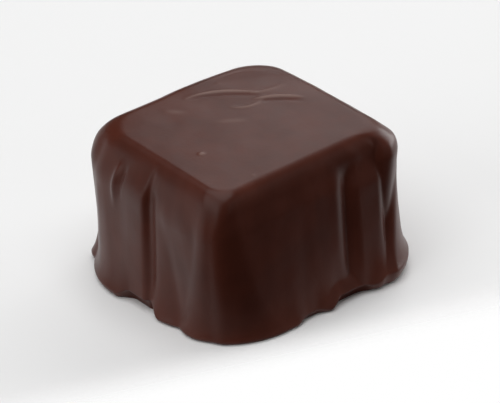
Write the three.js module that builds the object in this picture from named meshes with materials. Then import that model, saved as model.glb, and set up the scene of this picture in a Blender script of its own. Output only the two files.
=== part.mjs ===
// A square truffle coated in dark chocolate: a soft block with a nearly flat top, walls
// where the coating ran down in broad flows with creases between them, and feet where it
// pooled. It is one closed solid, standing on a flat sole at z = 0, in millimetres with +Z
// up. The -Y and +X walls are the two that face the viewer.
//
// The surface is a grid cube whose points are moved: the top face becomes the top, the
// four side faces become the walls, and the bottom face is replaced by a flat sole.

import * as THREE from 'three';
import { mergeGeometries, mergeVertices } from 'three/addons/utils/BufferGeometryUtils.js';

const { clamp, euclideanModulo, lerp, smoothstep } = THREE.MathUtils;

// The bare block under the flows.
const HALF_X = 13.25;
const HALF_Y = 14.5;
const HEIGHT = 21;

// Upright corners, in the order left (-X -Y), near (+X -Y), right (+X +Y), back (-X +Y).
// Each is tighter at the top than at the base, and a growth above 1 keeps it tight for
// most of the way down.
const CORNER_RADIUS_TOP = [3.6, 3.2, 2.6, 4.4];
const CORNER_RADIUS_BASE = [7.5, 8.8, 6, 8];
const CORNER_GROWTH = [0.8, 2.2, 0.8, 0.8];

// Rounding between the top and each wall, for the -Y, +X, +Y and -X walls: how far it
// reaches in over the top, and how far it drops down the wall. Its profile is a
// superellipse, and a fullness of 2 would be a plain ellipse.
const EDGE_IN = [2.2, 1.7, 2.6, 2.8];
const EDGE_DOWN = [6.4, 2.6, 3, 3.2];
const EDGE_BLEND = 2.5;
const EDGE_FULLNESS = 2.15;
const FLAT_RADIUS = [4.8, 2.2, 4.5, 4.5];
const COAT_FADE = 2.4;

// The top: a slight crown, a low swell across the back third, and a drooping back corner.
const CROWN_RISE = 0.25;
const SWELL_AT = 7.2;
const SWELL_RISE = 0.12;
const SWELL_WIDTH = 1.8;
const SWELL_END_FROM = 5.5;
const SWELL_END_TO = 11;
const DROOP_FROM = 9;
const DROOP_TO = 16.5;
const DROOP = 0.55;

// The flows. Places along the wall are measured round the block from the left corner:
// 0 to 26.5 along the -Y wall, to 55.5 along the +X wall, to 82 along +Y, to 111 along -X.
// A flow leaves the rim at "top" and lands at "foot", growing from thickTop to thickFoot
// on its way down from the height where it starts. It is level over its half width, then
// falls off by "steep", before and after it, times the square of the distance.
const FLOWS = [
  { top: -1.5, foot: -2, half: 1.8, steep: [0.12, 0.12], thickTop: 0.85, thickFoot: 1.3, start: 20.8 },
  { top: 4.5, foot: 4.5, half: 5.5, steep: [0.1, 0.1], thickTop: 0.55, thickFoot: 1.7, start: 19.5 },
  { top: 12.3, foot: 12.6, half: 0.5, steep: [0.03, 0.9], thickTop: 0.85, thickFoot: 1.7, start: 20 },
  { top: 14.6, foot: 14.6, half: 0.4, steep: [0.3, 0.05], thickTop: 0.35, thickFoot: 1.1, start: 19.5 },
  { top: 19.8, foot: 20.5, half: 4.6, steep: [0.2, 0.2], thickTop: 0.35, thickFoot: 0.1, start: 19.5 },
  { top: 18, foot: 22.5, half: 0.8, steep: [0.05, 0.05], thickTop: 0.7, thickFoot: 0.2, start: 19 },
  { top: 25.2, foot: 24.4, half: 0.8, steep: [0.07, 0.05], thickTop: 0.32, thickFoot: 1.3, start: 19 },
  { top: 35.6, foot: 36, half: 8.8, steep: [0.12, 0.12], thickTop: 0.45, thickFoot: 1.7, start: 20 },
  { top: 42.4, foot: 42.3, half: 0.6, steep: [0.25, 0.25], thickTop: 0.3, thickFoot: 1.7, start: 12 },
  { top: 46.3, foot: 46.3, half: 2.2, steep: [0.2, 0.2], thickTop: 0, thickFoot: 3, start: 7 },
  { top: 49.8, foot: 49.6, half: 1.4, steep: [0.3, 0.3], thickTop: 0.65, thickFoot: 2.6, start: 19 },
  { top: 55.6, foot: 54.5, half: 1.6, steep: [0.25, 0.25], thickTop: 1.5, thickFoot: 1.2, start: 21.5 },
  { top: 60.6, foot: 55.2, half: 3.5, steep: [0.4, 0.3], thickTop: 1, thickFoot: 3.2, start: 19 },
  { top: 66, foot: 66.5, half: 4.5, steep: [0.1, 0.3], thickTop: 0.75, thickFoot: 1.5, start: 20 },
  { top: 76.5, foot: 76, half: 2.5, steep: [0.2, 0.1], thickTop: 0.75, thickFoot: 1.6, start: 19.5 },
  { top: 84, foot: 84, half: 4, steep: [0.1, 0.1], thickTop: 0.6, thickFoot: 1.6, start: 20 },
  { top: 95.5, foot: 95, half: 3.5, steep: [0.05, 0.3], thickTop: 0.6, thickFoot: 1.5, start: 19.5 },
  { top: 103.5, foot: 106.5, half: 2.2, steep: [0.25, 0.25], thickTop: 0.6, thickFoot: 2.8, start: 19 },
];
const FLOW_START_RAMP = 4.5;
const FLOW_GROWTH = 1.2;
const CREASE_DEPTH = -0.25;
const CREASE_SOFTNESS = 0.12;

// The lower edge: mostly a low lip that rounds in under itself, where the coating pooled
// on the ground. The list has the places that differ, each with a half width, the height
// of the lip, how far it goes in under it, and 1 where there is a cove under the lip.
const FOOT_LIP = 0.6;
const FOOT_UNDERCUT = 0.7;
const LIPS = [
  { at: 0, half: 9.4, lip: 0.9, undercut: 0.8, cove: 0 },
  { at: 12.2, half: 2.4, lip: 1.8, undercut: 1.1, cove: 1 },
  { at: 39.6, half: 1.3, lip: 0.9, undercut: 0.6, cove: 0.6 },
  { at: 46, half: 2.6, lip: 1.5, undercut: 1.1, cove: 1 },
  { at: 54.9, half: 4.9, lip: 2, undercut: 1.3, cove: 0 },
  { at: 63.5, half: 1.8, lip: 1.7, undercut: 1.2, cove: 1 },
  { at: 71.3, half: 1.1, lip: 1.5, undercut: 1.1, cove: 1 },
  { at: 82, half: 8, lip: 0.8, undercut: 0.8, cove: 0 },
  { at: 93.6, half: 1.6, lip: 1.6, undercut: 1.2, cove: 1 },
  { at: 101.2, half: 1.3, lip: 1.8, undercut: 1.2, cove: 1 },
];
const LIP_END_IN = 0.8;
const LIP_END_OUT = 1.6;
const POOL_REACH = 0.8;
const POOL_RISE = 1.6;

// Grid: steps along each wall, and levels over the edge, down the wall and under the lip.
const STEPS = 32;
const EDGE_LEVELS = 6;
const WALL_LEVELS = 12;
const LIP_LEVELS = 3;
const LEVELS = EDGE_LEVELS + WALL_LEVELS + LIP_LEVELS;

const WALLS = [
  { corner: [-1, -1], along: [1, 0], length: 2 * HALF_X },
  { corner: [1, -1], along: [0, 1], length: 2 * HALF_Y },
  { corner: [1, 1], along: [-1, 0], length: 2 * HALF_X },
  { corner: [-1, 1], along: [0, -1], length: 2 * HALF_Y },
];
const WALL_STARTS = [0, 2 * HALF_X, 2 * (HALF_X + HALF_Y), 4 * HALF_X + 2 * HALF_Y];
const ROUND_LENGTH = 4 * (HALF_X + HALF_Y);

// Shortest distance between two places round the block.
function apart(a, b) {
  const ahead = euclideanModulo(a - b, ROUND_LENGTH);
  return Math.min(ahead, ROUND_LENGTH - ahead);
}

// The value of the wall that the place is on, blended into its neighbours at the corners.
function byWall(place, values) {
  return WALLS.reduce((sum, wall, k) => {
    const past = apart(place, WALL_STARTS[k] + wall.length / 2) - wall.length / 2;
    return sum + values[k] * (1 - smoothstep(past, -EDGE_BLEND, EDGE_BLEND));
  }, 0);
}

// Point and outward direction on a rectangle with round corners. "reach" is how much of
// the walls' ends belongs to each corner, "inset" is how far each wall stands in from the
// block, and "radius" is the one drawn at each corner.
function outline(place, reach, inset, radius) {
  const around = euclideanModulo(place, ROUND_LENGTH);
  const k = WALL_STARTS.findLastIndex((start) => around >= start);
  const previous = (k + 3) % 4;
  const next = (k + 1) % 4;
  const { corner, along, length } = WALLS[k];
  const s = around - WALL_STARTS[k];
  const end = length - reach[next];
  let angle = 0;
  let bend = 0;
  if (s < reach[k]) {
    angle = -(Math.PI / 4) * (1 - s / reach[k]);
    bend = radius[k];
  } else if (s > end) {
    angle = (Math.PI / 4) * ((s - end) / reach[next]);
    bend = radius[next];
  }
  const straight = clamp((s - reach[k]) / (end - reach[k]), 0, 1);
  const shorter = length - inset[previous] - inset[next];
  const gone = lerp(radius[k], shorter - radius[next], straight);
  const T = new THREE.Vector2(...along);
  const N = new THREE.Vector2(along[1], -along[0]);
  const outward = N.clone().multiplyScalar(Math.cos(angle)).addScaledVector(T, Math.sin(angle));
  const point = new THREE.Vector2(corner[0] * HALF_X, corner[1] * HALF_Y);
  point.addScaledVector(T, inset[previous] + gone).addScaledVector(N, -inset[k] - bend);
  point.addScaledVector(outward, bend);
  return { point, outward };
}

// The bare block's outline at a height, with its corners rounder towards the base.
function blockOutline(place, height) {
  const depth = clamp(1 - height / HEIGHT, 0, 1);
  const radius = CORNER_RADIUS_TOP.map((top, k) =>
    lerp(top, CORNER_RADIUS_BASE[k], depth ** CORNER_GROWTH[k]));
  return outline(place, radius, [0, 0, 0, 0], radius);
}

// Height of the lip, reach of what is under it and share of a cove at a place.
function lowerEdge(place) {
  const edge = { lip: FOOT_LIP, undercut: FOOT_UNDERCUT, cove: 0 };
  for (const { at, half, lip, undercut, cove } of LIPS) {
    const part = 1 - smoothstep(apart(place, at), half - LIP_END_IN, half + LIP_END_OUT);
    edge.lip += part * (lip - FOOT_LIP);
    edge.undercut += part * (undercut - FOOT_UNDERCUT);
    edge.cove = Math.min(1, edge.cove + part * cove);
  }
  return edge;
}

// Thickness of the coating: the thickest flow wins, with a soft crease where two meet.
function coatThickness(place, height) {
  let sum = Math.exp(CREASE_DEPTH / CREASE_SOFTNESS);
  for (const flow of FLOWS) {
    const fall = clamp(1 - height / flow.start, 0, 1);
    const centre = lerp(flow.top, flow.foot, fall);
    const away = Math.max(0, apart(place, centre) - flow.half);
    const past = euclideanModulo(place - centre, ROUND_LENGTH) < ROUND_LENGTH / 2;
    const steep = flow.steep[past ? 1 : 0];
    const grown = lerp(flow.thickTop, flow.thickFoot, fall ** FLOW_GROWTH);
    const thick = grown * smoothstep(flow.start - height, 0, FLOW_START_RAMP);
    sum += Math.exp((thick - steep * away ** 2) / CREASE_SOFTNESS);
  }
  return CREASE_SOFTNESS * Math.log(sum);
}

// Relief of the top, over the height of the block.
function topRelief(x, y) {
  const crown = CROWN_RISE * (1 - (x / HALF_X) ** 2) * (1 - (y / HALF_Y) ** 2);
  const back = (y - x) / Math.SQRT2;
  const across = Math.abs(x + y) / Math.SQRT2;
  const swell = SWELL_RISE * Math.exp(-(((back - SWELL_AT) / SWELL_WIDTH) ** 2));
  const ends = 1 - smoothstep(across, SWELL_END_FROM, SWELL_END_TO);
  return crown + swell * ends - DROOP * smoothstep(back, DROOP_FROM, DROOP_TO);
}

// A point of the top: share is 0 in the middle and 1 where the rounding starts.
function topPoint(place, share) {
  const { point } = outline(place, CORNER_RADIUS_TOP, EDGE_IN, FLAT_RADIUS);
  point.multiplyScalar(share);
  return new THREE.Vector3(point.x, point.y, HEIGHT + topRelief(point.x, point.y));
}

// A point of the wall, from level 0 at the top's rim to the last level on the sole. "over"
// is how far it is out over the rounding, and "under" how far in under the lip.
function wallPoint(place, level) {
  const { lip, undercut, cove } = lowerEdge(place);
  const edgeDown = byWall(place, EDGE_DOWN);
  let height = 0;
  let over = 1;
  let under = 0;
  if (level <= EDGE_LEVELS) {
    const angle = (Math.PI / 2) * (level / EDGE_LEVELS);
    height = HEIGHT - edgeDown * (1 - Math.cos(angle) ** (2 / EDGE_FULLNESS));
    over = Math.sin(angle) ** (2 / EDGE_FULLNESS);
  } else if (level <= EDGE_LEVELS + WALL_LEVELS) {
    height = lerp(HEIGHT - edgeDown, lip, (level - EDGE_LEVELS) / WALL_LEVELS);
  } else {
    const angle = (Math.PI / 2) * ((level - EDGE_LEVELS - WALL_LEVELS) / LIP_LEVELS);
    height = lip * lerp(1 - Math.sin(angle), Math.cos(angle), cove);
    under = undercut * lerp(1 - Math.cos(angle), Math.sin(angle), cove);
  }
  const sampled = Math.max(height, lip);
  const pool = POOL_REACH * (1 - cove) * Math.exp(-(sampled - lip) / POOL_RISE);
  const coat = (coatThickness(place, sampled) + pool) * smoothstep(HEIGHT - sampled, 0, COAT_FADE);
  const { point, outward } = blockOutline(place, sampled);
  point.addScaledVector(outward, coat - under);
  const rim = topPoint(place, 1);
  const lift = (rim.z - HEIGHT) * clamp(height / HEIGHT, 0, 1) ** 3;
  const x = lerp(rim.x, point.x, over);
  const y = lerp(rim.y, point.y, over);
  return new THREE.Vector3(x, y, Math.max(0, height + lift));
}

// The place round the block of a point on the rim of the square from -1 to 1.
function placeOf(a, b) {
  let k = 3;
  let share = (1 - b) / 2;
  if (b <= -1) {
    k = 0;
    share = (1 + a) / 2;
  } else if (a >= 1) {
    k = 1;
    share = (1 + b) / 2;
  } else if (b >= 1) {
    k = 2;
    share = (1 - a) / 2;
  }
  return WALL_STARTS[k] + share * WALLS[k].length;
}

// Where a point of the grid cube, from -1 to 1 each way, goes.
function shapePoint(p) {
  const ring = Math.max(Math.abs(p.x), Math.abs(p.y));
  const level = Math.round(((1 - p.z) / 2) * LEVELS);
  if (ring === 0) {
    return new THREE.Vector3(0, 0, HEIGHT + topRelief(0, 0));
  }
  const place = placeOf(p.x / ring, p.y / ring);
  return level === 0 ? topPoint(place, ring) : wallPoint(place, level);
}

// Top and walls: the grid cube without its bottom face, the last of its six groups.
function makeCoat() {
  const cube = new THREE.BoxGeometry(2, 2, 2, STEPS, STEPS, LEVELS);
  const bottom = cube.groups[5];
  cube.setIndex([...cube.index.array.slice(0, bottom.start)]);
  cube.clearGroups();
  cube.deleteAttribute('normal');
  cube.deleteAttribute('uv');
  const positions = cube.attributes.position;
  const p = new THREE.Vector3();
  for (let i = 0; i < positions.count; i += 1) {
    p.fromBufferAttribute(positions, i);
    positions.setXYZ(i, ...shapePoint(p));
  }
  return cube;
}

// The flat sole: a face over the ring that the walls end on, turned to look down.
function makeSole() {
  const ring = WALLS.flatMap((wall, k) =>
    Array.from({ length: STEPS }, (_, i) => {
      const p = wallPoint(WALL_STARTS[k] + (i / STEPS) * wall.length, LEVELS);
      return new THREE.Vector2(p.x, p.y);
    }));
  const sole = new THREE.ShapeGeometry(new THREE.Shape(ring));
  sole.deleteAttribute('normal');
  sole.deleteAttribute('uv');
  sole.setIndex([...sole.index.array].reverse());
  return sole;
}

// One closed body, moved so that the origin is under the middle of its bounding box.
function makeTruffleGeometry() {
  const body = mergeVertices(mergeGeometries([makeCoat(), makeSole()]), 1e-4);
  body.computeBoundingBox();
  const middle = body.boundingBox.getCenter(new THREE.Vector3());
  body.translate(-middle.x, -middle.y, 0);
  body.computeVertexNormals();
  return body;
}

const darkChocolate = new THREE.MeshStandardMaterial({
  color: 0x3c231c,
  roughness: 0.35,
  metalness: 0,
});

const truffle = new THREE.Mesh(makeTruffleGeometry(), darkChocolate);
truffle.name = 'truffle';

const model = new THREE.Group();
model.add(truffle);

export default model;
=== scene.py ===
# %% [markdown]
# # A square date truffle in dark chocolate
#
# The real sweet is a soft block that went under a curtain of melted chocolate. The top
# stayed nearly flat, the chocolate ran down the four walls in broad flows with creases
# between them, and it pooled into feet where it reached the tray.
#
# This lesson starts from a finished construction model, which fixes the size and the
# place of everything, and makes the surface that the eye sees: the same coat on a much
# finer grid, the small marks that the dipping left in it, and the satin gloss of set
# chocolate.

import math

import bpy
import numpy as np
from mathutils import Matrix, Vector


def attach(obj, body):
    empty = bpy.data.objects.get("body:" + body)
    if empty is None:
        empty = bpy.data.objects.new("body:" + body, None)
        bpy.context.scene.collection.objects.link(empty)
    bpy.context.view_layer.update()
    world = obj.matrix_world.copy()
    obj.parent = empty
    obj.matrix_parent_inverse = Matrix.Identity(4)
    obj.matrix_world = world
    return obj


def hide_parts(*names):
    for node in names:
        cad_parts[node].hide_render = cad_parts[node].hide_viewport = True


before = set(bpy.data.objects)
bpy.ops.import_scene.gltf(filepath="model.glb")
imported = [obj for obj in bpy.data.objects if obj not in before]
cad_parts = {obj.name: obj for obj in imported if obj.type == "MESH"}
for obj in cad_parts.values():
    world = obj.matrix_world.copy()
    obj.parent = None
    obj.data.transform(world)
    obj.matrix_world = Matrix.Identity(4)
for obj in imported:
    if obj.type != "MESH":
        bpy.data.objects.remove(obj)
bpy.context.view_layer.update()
MM = 0.001  # a millimetre in metres, which is what Blender counts in

# %% [markdown]
# ## Where the viewer stands
#
# A sweet this small is photographed from close by, so its upright edges lean together a
# little towards the bottom. That only comes out right if the camera is at the real
# distance. The lens is then chosen to fill the picture with the truffle: a longer lens
# magnifies without changing how near and far edges compare.

# %% The camera
PICTURE_WIDTH = 500
PHOTO_FOCAL_PX = 806  # the photograph's focal length, in its own pixels
CLOSER = 3.6          # how many times larger the truffle is shown than there
SENSOR_WIDTH = 36
NEAREST_SEEN = 10 * MM
VIEW_AZIMUTH = 51.5
VIEW_ELEVATION = 31.57
VIEW_DISTANCE = 364.9 * MM
CAMERA_ROLL = 1.96
LOOK_AT = Vector((0.94, 0.175, 9.6)) * MM


def toward(azimuth, elevation):
    """Unit direction from the truffle; azimuth 0 is -Y and 90 is +X."""
    a = math.radians(azimuth)
    e = math.radians(elevation)
    return Vector((math.sin(a) * math.cos(e), -math.cos(a) * math.cos(e), math.sin(e)))


def face_truffle(azimuth, elevation, distance):
    """Place and turn of a camera or lamp that looks at the truffle from a direction."""
    way = toward(azimuth, elevation)
    turn = (-way).to_track_quat("-Z", "Y").to_matrix().to_4x4()
    return Matrix.Translation(LOOK_AT + way * distance) @ turn


viewer_data = bpy.data.cameras.new("viewer")
viewer_data.sensor_width = SENSOR_WIDTH
viewer_data.lens = SENSOR_WIDTH * PHOTO_FOCAL_PX * CLOSER / PICTURE_WIDTH
viewer_data.clip_start = NEAREST_SEEN
viewer = bpy.data.objects.new("viewer", viewer_data)
roll = Matrix.Rotation(math.radians(-CAMERA_ROLL), 4, "Z")
viewer.matrix_world = face_truffle(VIEW_AZIMUTH, VIEW_ELEVATION, VIEW_DISTANCE) @ roll
bpy.context.collection.objects.link(viewer)
bpy.context.scene.camera = viewer
print(f"lens {viewer_data.lens:.0f} mm from {VIEW_DISTANCE:.3f} m")

# %% [markdown]
# ## The block under the coat
#
# Seen from above the block is a rectangle with round corners, tighter at the top than at
# the base. Every point of the wall has a place, measured in millimetres round the block
# from its left corner, and a height. From those two numbers come a point and the
# direction straight out of the wall, and the coat is then laid on along that direction.

# %% Sizes of the bare block
HALF_X = 13.25
HALF_Y = 14.5
HEIGHT = 21.0

# corners: left (-X -Y), near (+X -Y), right (+X +Y), back (-X +Y)
CORNER_RADIUS_TOP = [3.6, 3.2, 2.6, 4.4]
CORNER_RADIUS_BASE = [7.5, 8.8, 6.0, 8.0]
CORNER_GROWTH = [0.8, 2.2, 0.8, 0.8]  # over 1, the corner stays tight until far down

# walls -Y, +X, +Y, -X: the corner each starts at, the way it runs, its length
WALLS = [
    ((-1, -1), (1, 0), 2 * HALF_X),
    ((1, -1), (0, 1), 2 * HALF_Y),
    ((1, 1), (-1, 0), 2 * HALF_X),
    ((-1, 1), (0, -1), 2 * HALF_Y),
]
WALL_STARTS = [0, 2 * HALF_X, 2 * (HALF_X + HALF_Y), 4 * HALF_X + 2 * HALF_Y]
ROUND_LENGTH = 4 * (HALF_X + HALF_Y)
print("round the block, mm:", ROUND_LENGTH)

# %% Small helpers


def smooth_step(value, low, high):
    """0 below low, 1 above high, with a soft start and end."""
    t = np.clip((value - low) / (high - low), 0, 1)
    return t * t * (3 - 2 * t)


def blend(first, second, share):
    """From first at share 0 to second at share 1."""
    return first + (second - first) * share


def apart(place, other):
    """Shortest distance between two places round the block."""
    ahead = (place - other) % ROUND_LENGTH
    return np.minimum(ahead, ROUND_LENGTH - ahead)


# %% The block's outline


def outline(place, reach, inset, radius):
    """Points and outward directions round a rectangle with round corners.

    reach is how much of the walls' ends belongs to each corner, inset is how far each
    wall stands in from the block, and radius is the one drawn at each corner.
    """
    around = place % ROUND_LENGTH
    point = np.zeros(place.shape + (2,))
    outward = np.zeros(place.shape + (2,))
    for k, (corner, along, length) in enumerate(WALLS):
        n = (k + 1) % 4
        s = around - WALL_STARTS[k]
        here = (s >= 0) & (s < length)
        before = -(1 - s / reach[k])
        after = np.maximum(0, (s - length + reach[n]) / reach[n])
        angle = math.pi / 4 * np.where(s < reach[k], before, after)
        along = np.array(along, float)
        square = np.array([along[1], -along[0]])
        out = np.cos(angle)[..., None] * square + np.sin(angle)[..., None] * along
        start = np.array(corner) * (HALF_X, HALF_Y) + along * inset[k - 1] - square * inset[k]
        shorter = length - inset[k - 1] - inset[n]
        straight = np.clip((s - reach[k]) / (length - reach[k] - reach[n]), 0, 1)
        gone = blend(radius[k], shorter - radius[n], straight)
        bend = np.where(s < reach[k], radius[k], np.where(s > length - reach[n], radius[n], 0))
        spot = start + gone[..., None] * along + bend[..., None] * (out - square)
        point[here] = spot[here]
        outward[here] = out[here]
    return point, outward


def block_outline(place, height):
    """The bare block at a height, with its corners rounder towards the base."""
    depth = np.clip(1 - height / HEIGHT, 0, 1)
    corners = zip(CORNER_RADIUS_TOP, CORNER_RADIUS_BASE, CORNER_GROWTH)
    radius = [blend(top, base, depth ** growth) for top, base, growth in corners]
    return outline(place, radius, [0, 0, 0, 0], radius)


near_corner = block_outline(np.array([WALL_STARTS[1]]), np.array([HEIGHT]))[0][0]
print("near corner of the bare block, mm:", near_corner.round(2))

# %% [markdown]
# ## The rounded top edge
#
# Chocolate never holds a sharp edge: its surface tension pulls it round. A plain arc
# would meet the flat of the top with a visible line, because the bend starts all at
# once. This edge follows a superellipse instead, whose bend grows from nothing, and so
# the light slides over it without a line. Each wall has its own reach, as the photograph
# shows: far down the left wall in a broad soft band, and tight on the right one.

# %% Sizes of the rounded edge
EDGE_IN = [2.2, 1.7, 2.6, 2.8]      # from each wall in over the top
EDGE_DOWN = [6.4, 2.6, 3.0, 3.2]    # from the top down each wall
EDGE_BLEND = 2.5                    # how near a corner one wall's reach turns into the next
EDGE_FULLNESS = 2.15                # 2 is an ellipse, more is fuller
FLAT_RADIUS = [4.8, 2.2, 4.5, 4.5]  # corners of the flat of the top


def by_wall(place, values):
    """The value of the wall at a place, blended into the next one at the corners."""
    total = np.zeros_like(place)
    for value, start, (_, _, length) in zip(values, WALL_STARTS, WALLS):
        past = apart(place, start + length / 2) - length / 2
        total += value * (1 - smooth_step(past, -EDGE_BLEND, EDGE_BLEND))
    return total


def flat_outline(place):
    """The line where the flat of the top ends and the rounding starts."""
    return outline(place, CORNER_RADIUS_TOP, EDGE_IN, FLAT_RADIUS)[0]


print("edge reaches down, mm:", EDGE_DOWN)

# %% [markdown]
# ## Flows and creases
#
# Chocolate runs down in sheets. Where two sheets meet, their rounded edges leave a sharp
# crease, as between two pillows. A maximum does just that: at every place the thickest
# flow wins. A soft maximum rounds the bottom of the crease by a tenth of a millimetre,
# as the melt did.

# %% The flows
# place at the rim, place at the foot, level half width, steepness of the shoulders
# before and after it, thickness at the top, thickness at the foot, height at which it
# starts
FLOWS = [
    (-1.5, -2.0, 1.8, 0.12, 0.12, 0.85, 1.3, 20.8),
    (4.5, 4.5, 5.5, 0.10, 0.10, 0.55, 1.7, 19.5),
    (12.3, 12.6, 0.5, 0.03, 0.90, 0.85, 1.7, 20.0),
    (14.6, 14.6, 0.4, 0.30, 0.05, 0.35, 1.1, 19.5),
    (19.8, 20.5, 4.6, 0.20, 0.20, 0.35, 0.1, 19.5),
    (18.0, 22.5, 0.8, 0.05, 0.05, 0.70, 0.2, 19.0),
    (25.2, 24.4, 0.8, 0.07, 0.05, 0.32, 1.30, 19.0),
    (35.6, 36.0, 8.8, 0.12, 0.12, 0.45, 1.7, 20.0),
    (42.4, 42.3, 0.6, 0.25, 0.25, 0.30, 1.7, 12.0),
    (46.3, 46.3, 2.2, 0.20, 0.20, 0.00, 3.0, 7.0),
    (49.8, 49.6, 1.4, 0.30, 0.30, 0.65, 2.6, 19.0),
    (55.6, 54.5, 1.6, 0.25, 0.25, 1.50, 1.2, 21.5),
    (60.6, 55.2, 3.5, 0.40, 0.30, 1.00, 3.2, 19.0),
    (66.0, 66.5, 4.5, 0.10, 0.30, 0.75, 1.5, 20.0),
    (76.5, 76.0, 2.5, 0.20, 0.10, 0.75, 1.6, 19.5),
    (84.0, 84.0, 4.0, 0.10, 0.10, 0.60, 1.6, 20.0),
    (95.5, 95.0, 3.5, 0.05, 0.30, 0.60, 1.5, 19.5),
    (103.5, 106.5, 2.2, 0.25, 0.25, 0.60, 2.8, 19.0),
]
FLOW_START_RAMP = 4.5    # height over which a flow rises out of the wall
FLOW_GROWTH = 1.2        # over 1, a flow thickens late on its way down
CREASE_DEPTH = -0.25     # thickness where no flow reaches
CREASE_SOFTNESS = 0.12


def coat_thickness(place, height):
    """Thickness of the coat: the thickest flow wins, softly."""
    total = np.full(place.shape, math.exp(CREASE_DEPTH / CREASE_SOFTNESS))
    for top, foot, half, before, after, thick_top, thick_foot, start in FLOWS:
        fall = np.clip(1 - height / start, 0, 1)
        centre = blend(top, foot, fall)
        away = np.maximum(0, apart(place, centre) - half)
        steep = np.where((place - centre) % ROUND_LENGTH < ROUND_LENGTH / 2, after, before)
        grown = blend(thick_top, thick_foot, fall ** FLOW_GROWTH)
        thick = grown * smooth_step(start - height, 0, FLOW_START_RAMP)
        total += np.exp((thick - steep * away ** 2) / CREASE_SOFTNESS)
    return CREASE_SOFTNESS * np.log(total)


print("flows:", len(FLOWS))

# %% [markdown]
# The smaller marks on the walls are trails that a last thin run of chocolate left, and
# slits where two runs didn't quite close. They are low, but the gloss makes them plain.

# %% Trails and slits
# place, lowest height, highest height, rise (a slit has a negative one), half width
TRAILS = [
    (7.2, 14.0, 19.0, 0.34, 0.50),
    (8.4, 15.5, 19.0, -0.26, 0.32),
    (3.2, 4.0, 15.0, 0.07, 0.90),
    (14.2, 3.5, 18.0, -0.28, 0.95),
    (17.0, 8.0, 18.0, 0.06, 0.90),
    (31.0, 3.0, 16.5, 0.04, 1.40),
    (39.5, 5.0, 17.5, -0.05, 1.20),
    (44.6, 7.0, 18.5, 0.05, 0.80),
    (46.4, 4.0, 18.5, -0.10, 0.90),
    (62.5, 4.0, 17.0, 0.14, 0.60),
    (71.5, 5.0, 18.0, -0.20, 0.55),
    (79.0, 3.0, 15.0, 0.12, 0.70),
    (88.5, 4.0, 17.5, -0.16, 0.60),
    (93.0, 6.0, 18.5, 0.12, 0.50),
    (100.0, 8.0, 18.5, -0.25, 0.45),
]
TRAIL_FADE = 2.2


def trail_relief(place, height):
    """Height of the trails over the coat."""
    total = np.zeros(place.shape)
    for at, lowest, highest, rise, half in TRAILS:
        across = np.exp(-(apart(place, at) / half) ** 2)
        above = smooth_step(height, lowest - TRAIL_FADE, lowest + TRAIL_FADE)
        below = 1 - smooth_step(height, highest - TRAIL_FADE, highest)
        total += rise * across * above * below
    return total


print("trails and slits:", len(TRAILS))

# %% [markdown]
# ## Feet and gaps
#
# Most of the lower edge reached the tray, pooled there and swelled outward: its lip is
# low and rounds in under itself. In a few places the flow stopped short. There the lip
# hangs above the tray with a cove under it, and that dark gap is what makes the sweet
# look as if it stands on the tray instead of growing out of it.

# %% The lower edge
FOOT_LIP = 0.6
FOOT_UNDERCUT = 0.7

# place, half width, height of the lip, how far it goes in under it, share of a cove
LIPS = [
    (0.0, 9.4, 0.9, 0.8, 0.0),
    (12.2, 2.4, 1.8, 1.1, 1.0),
    (39.6, 1.3, 0.9, 0.6, 0.6),
    (46.0, 2.6, 1.5, 1.1, 1.0),
    (54.9, 4.9, 2.0, 1.3, 0.0),
    (63.5, 1.8, 1.7, 1.2, 1.0),
    (71.3, 1.1, 1.5, 1.1, 1.0),
    (82.0, 8.0, 0.8, 0.8, 0.0),
    (93.6, 1.6, 1.6, 1.2, 1.0),
    (101.2, 1.3, 1.8, 1.2, 1.0),
]
LIP_END_IN = 0.8   # each end of a lip fades from here inside it
LIP_END_OUT = 1.6  # to here outside it
POOL_REACH = 0.8   # how far a foot swells out
POOL_RISE = 1.6    # height over which the swelling dies away


def lower_edge(place):
    """Height of the lip, reach of what is under it and share of a cove at each place."""
    lip = np.full(place.shape, FOOT_LIP)
    undercut = np.full(place.shape, FOOT_UNDERCUT)
    cove = np.zeros_like(place)
    for at, half, lip_here, undercut_here, cove_here in LIPS:
        part = 1 - smooth_step(apart(place, at), half - LIP_END_IN, half + LIP_END_OUT)
        lip += part * (lip_here - FOOT_LIP)
        undercut += part * (undercut_here - FOOT_UNDERCUT)
        cove += part * cove_here
    return lip, undercut, np.minimum(cove, 1)


print("gaps:", sum(cove == 1 for *_, cove in LIPS))

# %% [markdown]
# ## The top
#
# The top is the calm part: a slight crown, a low swell across the back third where the
# chocolate closed behind the dipping fork, and a corner that droops at the back. On the
# swell lie a few hair-thin ridges. Each is drawn as an arc through three points, with a
# height that fades to nothing at both ends, so that it looks like chocolate that set
# while it was still closing.

# %% Relief of the top
CROWN_RISE = 0.25
SWELL_AT = 7.2
SWELL_RISE = 0.12
SWELL_WIDTH = 1.8
SWELL_END_FROM = 5.5
SWELL_END_TO = 11.0
DROOP_FROM = 9.0
DROOP_TO = 16.5
DROOP = 0.55

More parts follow.
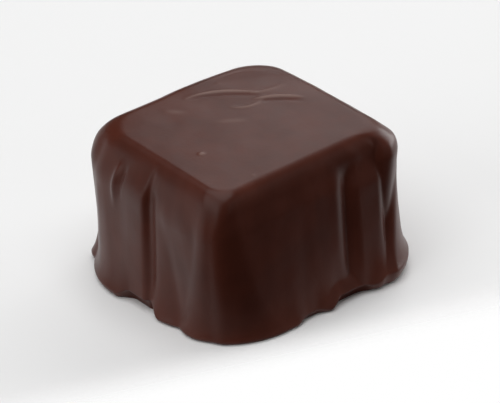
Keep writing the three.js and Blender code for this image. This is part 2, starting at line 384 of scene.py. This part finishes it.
# start, middle, end, rise (a furrow has a negative one), half width
WRINKLES = [
    ((-8.9, -1.6), (-7.4, 2.6), (-3.6, 6.4), 0.17, 0.36),
    ((-8.4, -0.9), (-6.5, 2.3), (-3.0, 5.9), -0.10, 0.40),
    ((-4.4, 5.6), (-3.5, 7.4), (-3.5, 10.4), 0.06, 0.40),
    ((-3.4, 1.4), (-1.9, 3.3), (-2.2, 6.0), 0.09, 0.34),
    ((-2.9, 4.9), (-1.4, 7.6), (0.9, 9.8), 0.17, 0.34),
    ((-2.0, 4.9), (-0.6, 7.2), (1.6, 9.2), -0.09, 0.40),
    ((-1.6, -2.4), (-0.6, -0.9), (0.5, 0.6), 0.04, 0.50),
    ((-8.0, -5.2), (-7.2, -4.6), (-6.2, -3.8), 0.04, 0.50),
]
WRINKLE_STEPS = 24
WRINKLE_TAPER = 0.6  # under 1, a ridge keeps its height until near its ends

# x, y, rise, radius
PIMPLES = [(3.1, -8.4, 0.16, 0.30), (11.2, -6.8, 0.10, 0.30), (-9.2, 4.2, 0.05, 0.30)]


def wrinkle_relief(x, y):
    """Height of the fine ridges, furrows and pimples."""
    total = np.zeros_like(x)
    for start, middle, end, rise, half in WRINKLES:
        highest = np.zeros_like(x)
        for t in np.linspace(0, 1, WRINKLE_STEPS):
            weights = (1 - t) * (1 - 2 * t), 4 * t * (1 - t), t * (2 * t - 1)
            px = weights[0] * start[0] + weights[1] * middle[0] + weights[2] * end[0]
            py = weights[0] * start[1] + weights[1] * middle[1] + weights[2] * end[1]
            near = np.exp(-((x - px) ** 2 + (y - py) ** 2) / half ** 2)
            highest = np.maximum(highest, near * math.sin(math.pi * t) ** WRINKLE_TAPER)
        total += rise * highest
    for px, py, rise, radius in PIMPLES:
        total += rise * np.exp(-((x - px) ** 2 + (y - py) ** 2) / radius ** 2)
    return total


def top_relief(x, y):
    """Height of the top over the flat block, without the fine ridges."""
    crown = CROWN_RISE * (1 - (x / HALF_X) ** 2) * (1 - (y / HALF_Y) ** 2)
    back_way = (y - x) / math.sqrt(2)
    across = np.abs(x + y) / math.sqrt(2)
    swell = SWELL_RISE * np.exp(-((back_way - SWELL_AT) / SWELL_WIDTH) ** 2)
    ends = 1 - smooth_step(across, SWELL_END_FROM, SWELL_END_TO)
    droop = DROOP * smooth_step(back_way, DROOP_FROM, DROOP_TO)
    return crown + swell * ends - droop


print("fine ridges:", len(WRINKLES), "pimples:", len(PIMPLES))

# %% [markdown]
# ## One closed skin
#
# The skin is a stack of rings. The first ring runs round the flat of the top, the next
# ones over the rounded edge, then down the wall, round the lip and in under the foot.
# The top is filled with a square grid, so that no lines crowd together in its middle and
# the gloss stays even. A flat face closes the underside.

# %% Points of the top and of one ring
STEPS = 140
EDGE_RINGS = 18
WALL_RINGS = 84
LIP_RINGS = 12
RING_COUNT = EDGE_RINGS + WALL_RINGS + LIP_RINGS
COAT_FADE = 2.4   # depth below the top at which the coat has its full thickness
FINE_FADE = 8     # a power: the fine relief dies away just before the rounding starts
RELIEF_FADE = 3   # a power: the top's relief dies away down the walls

wall_step = np.arange(STEPS) / STEPS
places = np.concatenate([start + wall_step * length
                         for start, (_, _, length) in zip(WALL_STARTS, WALLS)])


def top_points(place, share):
    """Points of the top: share is 0 in the middle and 1 where the rounding starts."""
    flat = flat_outline(place) * share[..., None]
    x, y = flat[..., 0], flat[..., 1]
    fine = wrinkle_relief(x, y) * (1 - share ** FINE_FADE)
    return np.stack([x, y, HEIGHT + top_relief(x, y) + fine], axis=-1)


def ring_levels(ring):
    """Height of a ring, and how far it is out over the edge and in under the lip."""
    lip, undercut, cove = lower_edge(places)
    edge_down = by_wall(places, EDGE_DOWN)
    over, under = 1, 0
    if ring <= EDGE_RINGS:
        angle = math.pi / 2 * ring / EDGE_RINGS
        over = math.sin(angle) ** (2 / EDGE_FULLNESS)
        height = HEIGHT - edge_down * (1 - math.cos(angle) ** (2 / EDGE_FULLNESS))
    elif ring <= EDGE_RINGS + WALL_RINGS:
        height = blend(HEIGHT - edge_down, lip, (ring - EDGE_RINGS) / WALL_RINGS)
    else:
        angle = math.pi / 2 * (ring - EDGE_RINGS - WALL_RINGS) / LIP_RINGS
        height = lip * blend(1 - math.sin(angle), math.cos(angle), cove)
        under = undercut * blend(1 - math.cos(angle), math.sin(angle), cove)
    return height, over, under


def ring_points(ring):
    """Points of one ring, from 1 just outside the flat to the last one on the sole."""
    height, over, under = ring_levels(ring)
    lip, _, cove = lower_edge(places)
    sampled = np.maximum(height, lip)
    pool = POOL_REACH * (1 - cove) * np.exp(-(sampled - lip) / POOL_RISE)
    coat = coat_thickness(places, sampled) + trail_relief(places, sampled) + pool
    coat = coat * smooth_step(HEIGHT - sampled, 0, COAT_FADE)
    point, outward = block_outline(places, sampled)
    rim = top_points(places, np.ones_like(places))
    point = blend(rim[:, :2], point + outward * (coat - under)[..., None], over)
    lift = (rim[:, 2] - HEIGHT) * np.clip(height / HEIGHT, 0, 1) ** RELIEF_FADE
    return np.column_stack([point, np.maximum(0, height + lift)])


rings = [ring_points(k) for k in range(1, RING_COUNT + 1)]
print("rings:", RING_COUNT, "points on each:", len(places))

# %% The top's square grid
TINY = 1e-9
NEARLY_ONE = 1 - TINY

steps_across = np.linspace(-1, 1, STEPS + 1)
grid_a, grid_b = np.meshgrid(steps_across, steps_across, indexing="ij")
grid_share = np.maximum(np.abs(grid_a), np.abs(grid_b))
side_a = grid_a / np.maximum(grid_share, TINY)
side_b = grid_b / np.maximum(grid_share, TINY)
grid_place = np.select(
    [side_b <= -NEARLY_ONE, side_a >= NEARLY_ONE, side_b >= NEARLY_ONE],
    [WALL_STARTS[0] + (1 + side_a) / 2 * WALLS[0][2],
     WALL_STARTS[1] + (1 + side_b) / 2 * WALLS[1][2],
     WALL_STARTS[2] + (1 - side_a) / 2 * WALLS[2][2]],
    WALL_STARTS[3] + (1 - side_b) / 2 * WALLS[3][2])
grid_points = top_points(grid_place, grid_share)
print("top grid:", grid_points.shape[:2])

# %% Join them into a mesh
top_index = np.arange((STEPS + 1) ** 2).reshape(STEPS + 1, STEPS + 1)
top_faces = np.stack([top_index[:-1, :-1], top_index[1:, :-1],
                      top_index[1:, 1:], top_index[:-1, 1:]], axis=-1).reshape(-1, 4)
rim_index = np.concatenate([top_index[:-1, 0], top_index[-1, :-1],
                            top_index[:0:-1, -1], top_index[0, :0:-1]])
ring_index = top_index.size + np.arange(RING_COUNT * len(places)).reshape(RING_COUNT, -1)
upper = np.vstack([rim_index[None], ring_index[:-1]])
wall_faces = np.stack([upper, ring_index, np.roll(ring_index, -1, axis=1),
                       np.roll(upper, -1, axis=1)], axis=-1).reshape(-1, 4)
sole_face = ring_index[-1][::-1]

points = np.concatenate([grid_points.reshape(-1, 3)] + rings)
middle = (points.min(axis=0) + points.max(axis=0)) / 2
points = (points - [middle[0], middle[1], 0]) * MM
skin = bpy.data.meshes.new("chocolate_coat")
skin.from_pydata(points.tolist(), [],
                 top_faces.tolist() + wall_faces.tolist() + [sole_face.tolist()])
skin.shade_smooth()
coat = bpy.data.objects.new("chocolate_coat", skin)
bpy.context.collection.objects.link(coat)
print("faces:", len(skin.polygons), "middle of the block, mm:", middle[:2].round(2))

# %% [markdown]
# ## Arithmetic on node sockets
#
# A material or a geometry tree is mostly sums. This small class wraps an output socket,
# so that a sum can be written as a Python expression and the nodes are made on the way.
# Any other node comes from its one method, which sets the node's settings first, because
# they decide which sockets the node has.

# %% A socket that can be used in sums


class Wire:
    """An output socket of a node tree that can be used in plain arithmetic."""

    def __init__(self, tree, socket=None):
        self.tree = tree
        self.socket = socket

    def node(self, kind, settings, sockets, output=0):
        """Add a node: its settings first, then a value or a wire for each socket."""
        made = self.tree.nodes.new(kind)
        for name, value in settings.items():
            setattr(made, name, value)
        for name, value in sockets.items():
            if isinstance(value, Wire):
                self.tree.links.new(value.socket, made.inputs[name])
            else:
                made.inputs[name].default_value = value
        return None if output is None else Wire(self.tree, made.outputs[output])

    def math(self, operation, first, second):
        return self.node("ShaderNodeMath", {"operation": operation}, {0: first, 1: second})

    def __add__(self, other):
        return self.math("ADD", self, other)

    def __radd__(self, other):
        return self.math("ADD", other, self)

    def __sub__(self, other):
        return self.math("SUBTRACT", self, other)

    def __rsub__(self, other):
        return self.math("SUBTRACT", other, self)

    def __mul__(self, other):
        return self.math("MULTIPLY", self, other)

    def __rmul__(self, other):
        return self.math("MULTIPLY", other, self)


# %% [markdown]
# ## The chocolate
#
# Set dark chocolate is a satin, not a mirror: cocoa butter crystals leave it finely
# matt, and in long streaks where it ran. Its colour hardly changes, a deep brown a
# little redder where the coat is thin. Where the fine ridges rise, the colour turns
# paler and the surface more matt. Their place comes with the mesh, as a value at each point.

# %% Where the fine ridges turn paler
FULLY_PALE_RELIEF = 0.11  # a ridge of this height turns paler all the way

grid_x, grid_y = grid_points[..., 0], grid_points[..., 1]
grid_fine = wrinkle_relief(grid_x, grid_y) * (1 - grid_share ** FINE_FADE)
paler_ridge = np.zeros(len(points))
paler_ridge[:grid_x.size] = grid_fine.ravel()
paler_ridge = np.clip(paler_ridge / FULLY_PALE_RELIEF, 0, 1)
skin.attributes.new("paler_ridge", "FLOAT", "POINT").data.foreach_set("value", paler_ridge)
print("rubbed points:", int((paler_ridge > 0.5).sum()))

# %% Patterns on the chocolate
PATCH = 7 * MM
GRAIN = 0.5 * MM
STREAKS_PER_PATCH = 4
STREAK_SQUEEZE = 0.15  # heights count this much less than widths, so streaks run down

chocolate = bpy.data.materials.new("dark_chocolate")
chocolate.use_nodes = True
brush = Wire(chocolate.node_tree)
spot = brush.node("ShaderNodeTexCoord", {}, {}, "Object")
run_down = brush.node("ShaderNodeMapping", {},
                      {"Vector": spot, "Scale": (1, 1, STREAK_SQUEEZE)})
patches = brush.node("ShaderNodeTexNoise", {}, {"Vector": spot, "Scale": 1 / PATCH})
streaks = brush.node("ShaderNodeTexNoise", {},
                     {"Vector": run_down, "Scale": STREAKS_PER_PATCH / PATCH})
grain = brush.node("ShaderNodeTexNoise", {}, {"Vector": spot, "Scale": 1 / GRAIN})
ridge_share = brush.node("ShaderNodeAttribute", {"attribute_name": "paler_ridge"}, {}, "Fac")
print("streaks are", PATCH / STREAKS_PER_PATCH / MM, "mm wide")

# %% The chocolate's colour
DEEP_BROWN = (0.059, 0.0140, 0.0080, 1)
WARM_BROWN = (0.075, 0.0179, 0.0102, 1)
PALE_RIDGE_BROWN = (0.200, 0.125, 0.107, 1)
PALE_RIDGE_MOST = 0.75
PATCH_PART, STREAK_PART = 0.7, 0.3
ALL_DEEP, ALL_WARM = 0.35, 0.65  # noise seldom leaves its middle, so this is its range

share = brush.node("ShaderNodeMapRange", {"interpolation_type": "SMOOTHSTEP"},
                   {"Value": PATCH_PART * patches + STREAK_PART * streaks,
                    "From Min": ALL_DEEP, "From Max": ALL_WARM})
brown = brush.node("ShaderNodeMix", {"data_type": "RGBA"},
                   {0: share, 6: DEEP_BROWN, 7: WARM_BROWN}, 2)
# the colour turns paler where the fine ridges rise, by how high they stand
colour = brush.node("ShaderNodeMix", {"data_type": "RGBA"},
                    {0: PALE_RIDGE_MOST * ridge_share, 6: brown, 7: PALE_RIDGE_BROWN}, 2)
print("deep to warm brown, red part:", DEEP_BROWN[0], "to", WARM_BROWN[0])

# %% The chocolate's gloss
IOR = 1.5
MIRROR_LEVEL = 0.23  # 0.5 would be clear lacquer, and set chocolate mirrors less
SMOOTHEST = 0.28
STREAKS_MATT, GRAIN_MATT, RIDGE_MATT = 0.06, 0.04, 0.1
GRAIN_RISE, STREAK_RISE = 0.6, 0.4
BUMP_STRENGTH = 0.35
BUMP_HEIGHT = 0.03 * MM

# the gloss turns more matt where the fine ridges rise
gloss = SMOOTHEST + STREAKS_MATT * streaks + GRAIN_MATT * grain + RIDGE_MATT * ridge_share
uneven = brush.node("ShaderNodeBump", {},
                    {"Height": GRAIN_RISE * grain + STREAK_RISE * streaks,
                     "Strength": BUMP_STRENGTH, "Distance": BUMP_HEIGHT})
shader = chocolate.node_tree.nodes["Principled BSDF"]
shader.inputs["IOR"].default_value = IOR
shader.inputs["Specular IOR Level"].default_value = MIRROR_LEVEL
for name, value in [("Base Color", colour), ("Roughness", gloss), ("Normal", uneven)]:
    chocolate.node_tree.links.new(value.socket, shader.inputs[name])
print("nodes in the chocolate:", len(chocolate.node_tree.nodes))

# %% [markdown]
# ## A hand-dipped unevenness
#
# No wall of a dipped sweet is quite even: the melt was thicker in some patches, and it
# shows as a slow waver of the reflections. This follows a rule, so Geometry Nodes do it:
# every point moves along its normal by a broad noise, and the move fades out near the
# tray, so that the truffle still stands flat. The tree takes its sizes as named inputs
# and its noise from a fixed seed, and gives the surface its chocolate at the end.

# %% The tree's named inputs
waver = bpy.data.node_groups.new("uneven_coat", "GeometryNodeTree")
waver.is_modifier = True
for name, kind in [("Geometry", "Geometry"), ("Depth", "Float"), ("Patch", "Float"),
                   ("Seed", "Float"), ("Still Below", "Float"), ("Chocolate", "Material")]:
    waver.interface.new_socket(name, in_out="INPUT", socket_type="NodeSocket" + kind)
waver.interface.new_socket("Geometry", in_out="OUTPUT", socket_type="NodeSocketGeometry")

tree_input = waver.nodes.new("NodeGroupInput")
given = {socket.name: Wire(waver, socket) for socket in tree_input.outputs}
print("inputs of the tree:", [name for name in given if name])

# %% A tree that makes the coat uneven
FREE_FROM = 3  # times "Still Below": from there up the coat wavers in full

hand = Wire(waver)
where = hand.node("GeometryNodeInputPosition", {}, {})
normal = hand.node("GeometryNodeInputNormal", {}, {})
above_tray = hand.node("ShaderNodeSeparateXYZ", {}, {"Vector": where}, "Z")
noise = hand.node("ShaderNodeTexNoise", {"noise_dimensions": "4D"},
                  {"Vector": where, "W": given["Seed"], "Detail": 1.0,
                   "Scale": hand.math("DIVIDE", 1, given["Patch"])})
free = hand.node("ShaderNodeMapRange", {"interpolation_type": "SMOOTHSTEP"},
                 {"Value": above_tray, "From Min": given["Still Below"],
                  "From Max": FREE_FROM * given["Still Below"]})
# the noise runs from 0 to 1, and the push from -1 to 1 times the depth
push = 2 * (noise - 0.5) * given["Depth"] * free
move = hand.node("ShaderNodeVectorMath", {"operation": "SCALE"},
                 {"Vector": normal, "Scale": push})
moved = hand.node("GeometryNodeSetPosition", {},
                  {"Geometry": given["Geometry"], "Offset": move})
whole = hand.node("GeometryNodeRealizeInstances", {}, {"Geometry": moved})
coated = hand.node("GeometryNodeSetMaterial", {},
                   {"Geometry": whole, "Material": given["Chocolate"]})
hand.node("NodeGroupOutput", {}, {"Geometry": coated}, None)
print("nodes in the tree:", len(waver.nodes))

# %% Run the tree and keep what it made
WAVER_DEPTH = 0.07 * MM
WAVER_PATCH = 5 * MM
WAVER_SEED = 4.0
STILL_BELOW = 0.5 * MM

modifier = coat.modifiers.new("uneven_coat", "NODES")
modifier.node_group = waver
sockets = {item.name: item.identifier for item in waver.interface.items_tree
           if item.in_out == "INPUT"}
for name, value in [("Depth", WAVER_DEPTH), ("Patch", WAVER_PATCH), ("Seed", WAVER_SEED),
                    ("Still Below", STILL_BELOW), ("Chocolate", chocolate)]:
    modifier[sockets[name]] = value
graph = bpy.context.evaluated_depsgraph_get()
wavy = bpy.data.meshes.new_from_object(coat.evaluated_get(graph),
                                       preserve_all_data_layers=True, depsgraph=graph)
coat.modifiers.remove(modifier)
coat.data = wavy
before = np.zeros(3 * len(points))
after = np.zeros(3 * len(points))
skin.vertices.foreach_get("co", before)
wavy.vertices.foreach_get("co", after)
print("largest move, mm:", round(float(np.abs(after - before).max()) / MM, 3))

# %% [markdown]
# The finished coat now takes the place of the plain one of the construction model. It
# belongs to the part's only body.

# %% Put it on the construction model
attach(coat, "root")
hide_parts("truffle")
print("shown in place of the plain solid:", coat.name)

# %% [markdown]
# ## The table
#
# The photograph has a white ground that runs out into pure white. A sheet of paper that
# ended in a hard line would show, so this one turns see-through a little way beyond the
# sweet on the right. That does a second job: the right wall mirrors what lies in front of
# it, and without paper there it stays as dark as it should be.

# %% The paper
TABLE_SIZE = 4
PAPER_GREY = (0.85, 0.85, 0.85, 1)
PAPER_ROUGHNESS = 0.8
PAPER_AZIMUTH = 70  # the way in which it fades
PAPER_END = 15 * MM
PAPER_GONE = 24 * MM

bpy.ops.mesh.primitive_plane_add(size=TABLE_SIZE, location=(0, 0, 0))
table = bpy.context.object
table.name = "pale_table"
paper = bpy.data.materials.new("pale_paper")
paper.use_nodes = True
sheet = paper.node_tree.nodes["Principled BSDF"]
sheet.inputs["Base Color"].default_value = PAPER_GREY
sheet.inputs["Roughness"].default_value = PAPER_ROUGHNESS
pencil = Wire(paper.node_tree)
on_paper = pencil.node("ShaderNodeTexCoord", {}, {}, "Object")
to_right = pencil.node("ShaderNodeVectorMath", {"operation": "DOT_PRODUCT"},
                       {0: on_paper, 1: toward(PAPER_AZIMUTH, 0)}, "Value")
left = pencil.node("ShaderNodeMapRange", {"interpolation_type": "SMOOTHSTEP"},
                   {"Value": to_right, "From Min": PAPER_END, "From Max": PAPER_GONE,
                    "To Min": 1.0, "To Max": 0.0})
paper.node_tree.links.new(left.socket, sheet.inputs["Alpha"])
table.data.materials.append(paper)
print(f"the paper fades out from {PAPER_END / MM:.0f} to {PAPER_GONE / MM:.0f} mm")

# %% [markdown]
# ## Light
#
# What makes dark chocolate look like chocolate is what it mirrors, so each light is
# placed by what mirrors it. The overhead one is broad and fills the whole. The backdrop
# stands behind the sweet and lays the pale sheen on the top. The one at the front left
# lifts the left wall, which mirrors the paper as well. The rim stands low at the back
# right and draws the lines of light down the outer flows. The right wall gets only a weak
# fill. None of them stands where the soft band along the left edge would mirror it, and
# that is why the band stays dark.

# %% The lights
LIGHT_DISTANCE = 0.9

# name, azimuth, elevation, width and height in metres, power in watts
LIGHTS = [
    ("overhead", 350, 80, 1.2, 1.2, 9.0),
    ("backdrop", 212, 34, 0.7, 0.6, 2.2),
    ("front_left", 352, 22, 0.9, 0.6, 2.6),
    ("rim", 172, 6, 0.8, 0.5, 6.5),
    ("fill", 95, 20, 0.9, 0.6, 0.5),
]

for name, azimuth, elevation, width, height, power in LIGHTS:
    light = bpy.data.lights.new(name, "AREA")
    light.shape = "RECTANGLE"
    light.size = width
    light.size_y = height
    light.energy = power
    lamp = bpy.data.objects.new(name, light)
    lamp.matrix_world = face_truffle(azimuth, elevation, LIGHT_DISTANCE)
    bpy.context.collection.objects.link(lamp)
print("lights:", len(LIGHTS), "power, W:", round(sum(row[-1] for row in LIGHTS), 1))

# %% [markdown]
# The room itself is nearly dark, or the chocolate would mirror a grey fog. The camera
# alone sees it as white, as the photograph's ground is.

# %% The room
WHITE = (1, 1, 1, 1)
ROOM_LIGHT = 0.02

world = bpy.data.worlds.new("room")
world.use_nodes = True
dim = world.node_tree.nodes["Background"]
dim.inputs["Color"].default_value = WHITE
dim.inputs["Strength"].default_value = ROOM_LIGHT
room = Wire(world.node_tree)
seen = room.node("ShaderNodeLightPath", {}, {}, "Is Camera Ray")
white = room.node("ShaderNodeBackground", {}, {"Color": WHITE, "Strength": 1.0})
dim_wire = Wire(world.node_tree, dim.outputs[0])
ground = room.node("ShaderNodeMixShader", {}, {0: seen, 1: dim_wire, 2: white})
world.node_tree.links.new(ground.socket, world.node_tree.nodes["World Output"].inputs[0])
bpy.context.scene.world = world
bpy.context.scene.view_settings.view_transform = "Standard"
print("room light:", ROOM_LIGHT)
